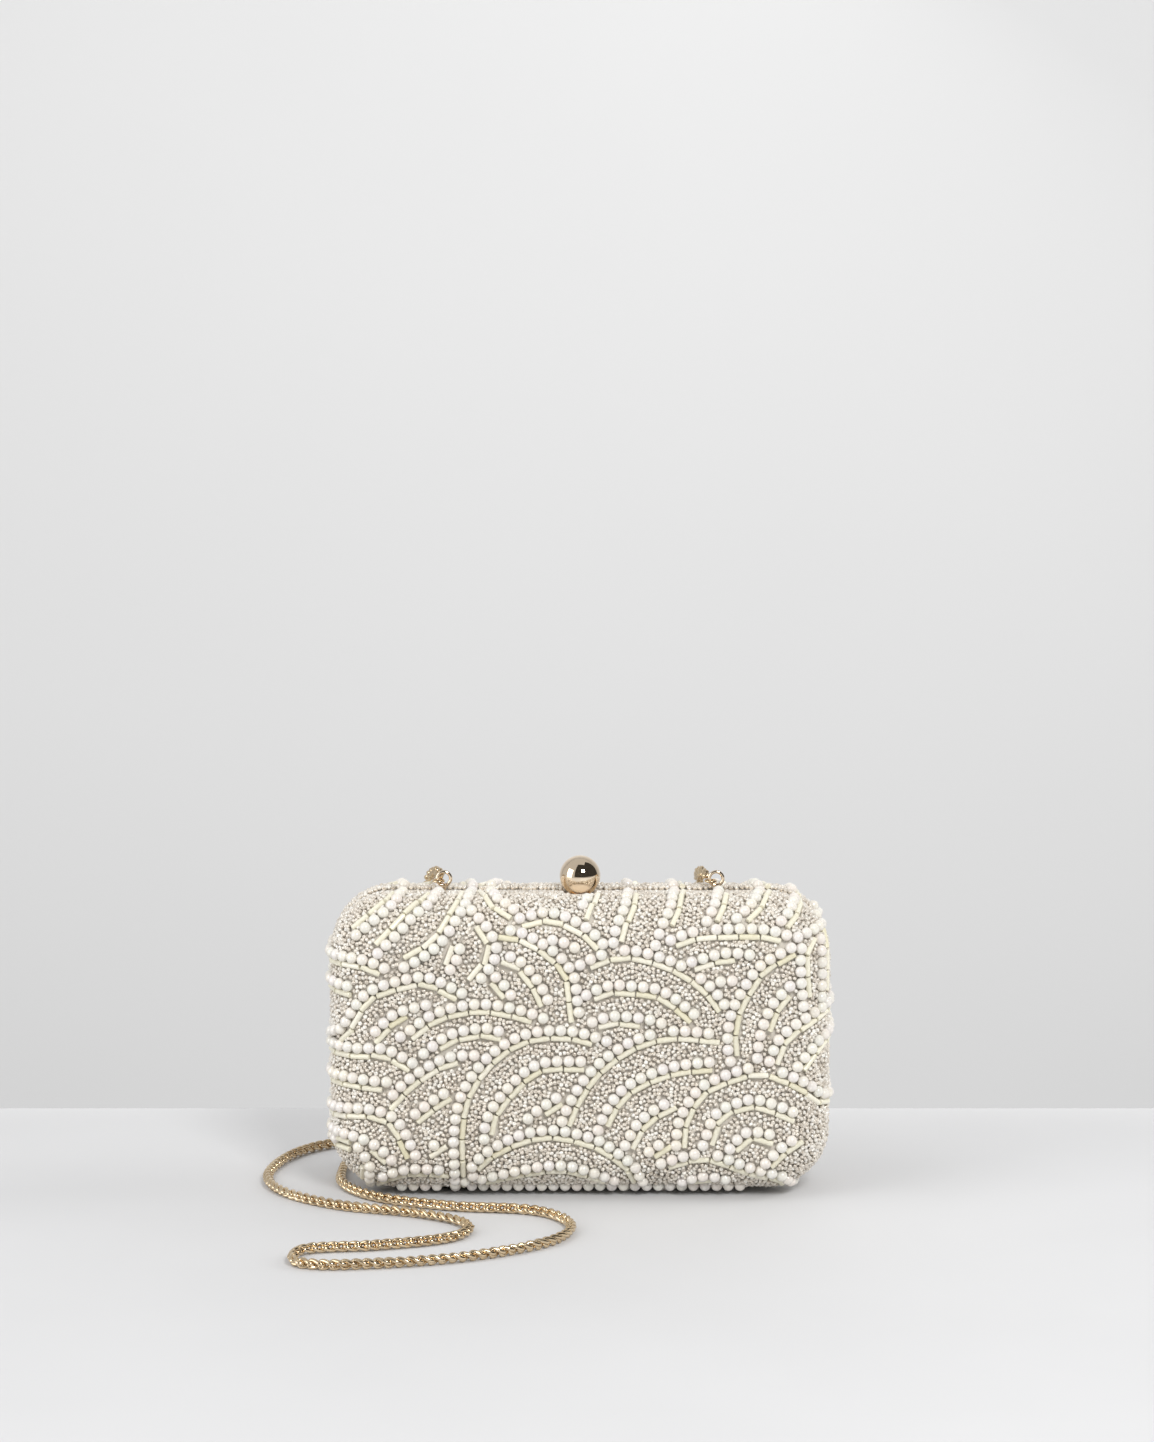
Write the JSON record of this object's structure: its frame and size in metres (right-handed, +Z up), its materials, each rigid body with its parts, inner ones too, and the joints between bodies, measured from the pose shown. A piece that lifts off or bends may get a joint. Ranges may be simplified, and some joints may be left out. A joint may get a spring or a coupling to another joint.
{
  "type": "beaded evening bag",
  "caption": "Hard-cased beaded evening bag with a metal frame hinged at the bottom, a sprung ball clasp on top and a curb chain strap.",
  "frame": {"origin": "middle of the bottom of the beaded case, on the surface that it stands on, in the plane where the halves part", "axes": "+Z up, -Y towards the front of the bag, +X to the right seen from the front"},
  "size_m": [0.1896, 0.1681, 0.1109],
  "materials": {
    "pearl_beads": "pearlescent",
    "bugle_beads": "satin glass",
    "seed_beads": "silver-lined glass",
    "ground_cloth": "matte",
    "shell_board": "moulded",
    "satin": "satin",
    "gold_frame": "light gold plate",
    "gold_mirror": "mirror polished champagne gold",
    "gold_chain": "polished gold plate",
    "steel": "plain"
  },
  "bodies": {
    "back_half": {"back_beadwork": "pearl_beads", "back_ground_cloth": "ground_cloth", "back_shell": "shell_board", "back_lining": "satin", "slip_pocket": "satin", "back_rim": "gold_frame", "hinge_pin_left": "steel", "hinge_pin_right": "steel", "clasp_bracket": "gold_frame", "clasp_pivot_pin": "steel", "clasp_spring": "steel", "bracket_rivets": "steel", "chain_eye_left": "gold_mirror", "chain_eye_right": "gold_mirror", "eye_washers": "steel", "eye_nuts": "steel", "jump_ring_left": "gold_chain", "jump_ring_right": "gold_chain", "chain_strap": "gold_chain"},
    "front_half": {"front_beadwork": "pearl_beads", "front_ground_cloth": "ground_cloth", "front_shell": "shell_board", "front_lining": "satin", "front_rim": "gold_frame", "clasp_catch": "gold_frame", "catch_rivets": "steel"},
    "clasp": {"clasp_ball": "gold_mirror", "clasp_lever": "gold_frame"}
  },
  "joints": [
    {"name": "case_hinge", "type": "hinge", "parent": "back_half", "child": "front_half", "pos_m": [0, 0, 0.0022], "axis": [1, 0, 0], "range_deg": [0, 80], "deforming": ["chain_strap"]},
    {"name": "clasp_push", "type": "hinge", "parent": "back_half", "child": "clasp", "pos_m": [0, 0.005, 0.09], "axis": [-1, 0, 0], "range_deg": [0, 12], "stiffness_Nm_per_rad": 0.03, "springref_deg": -11.46}
  ]
}
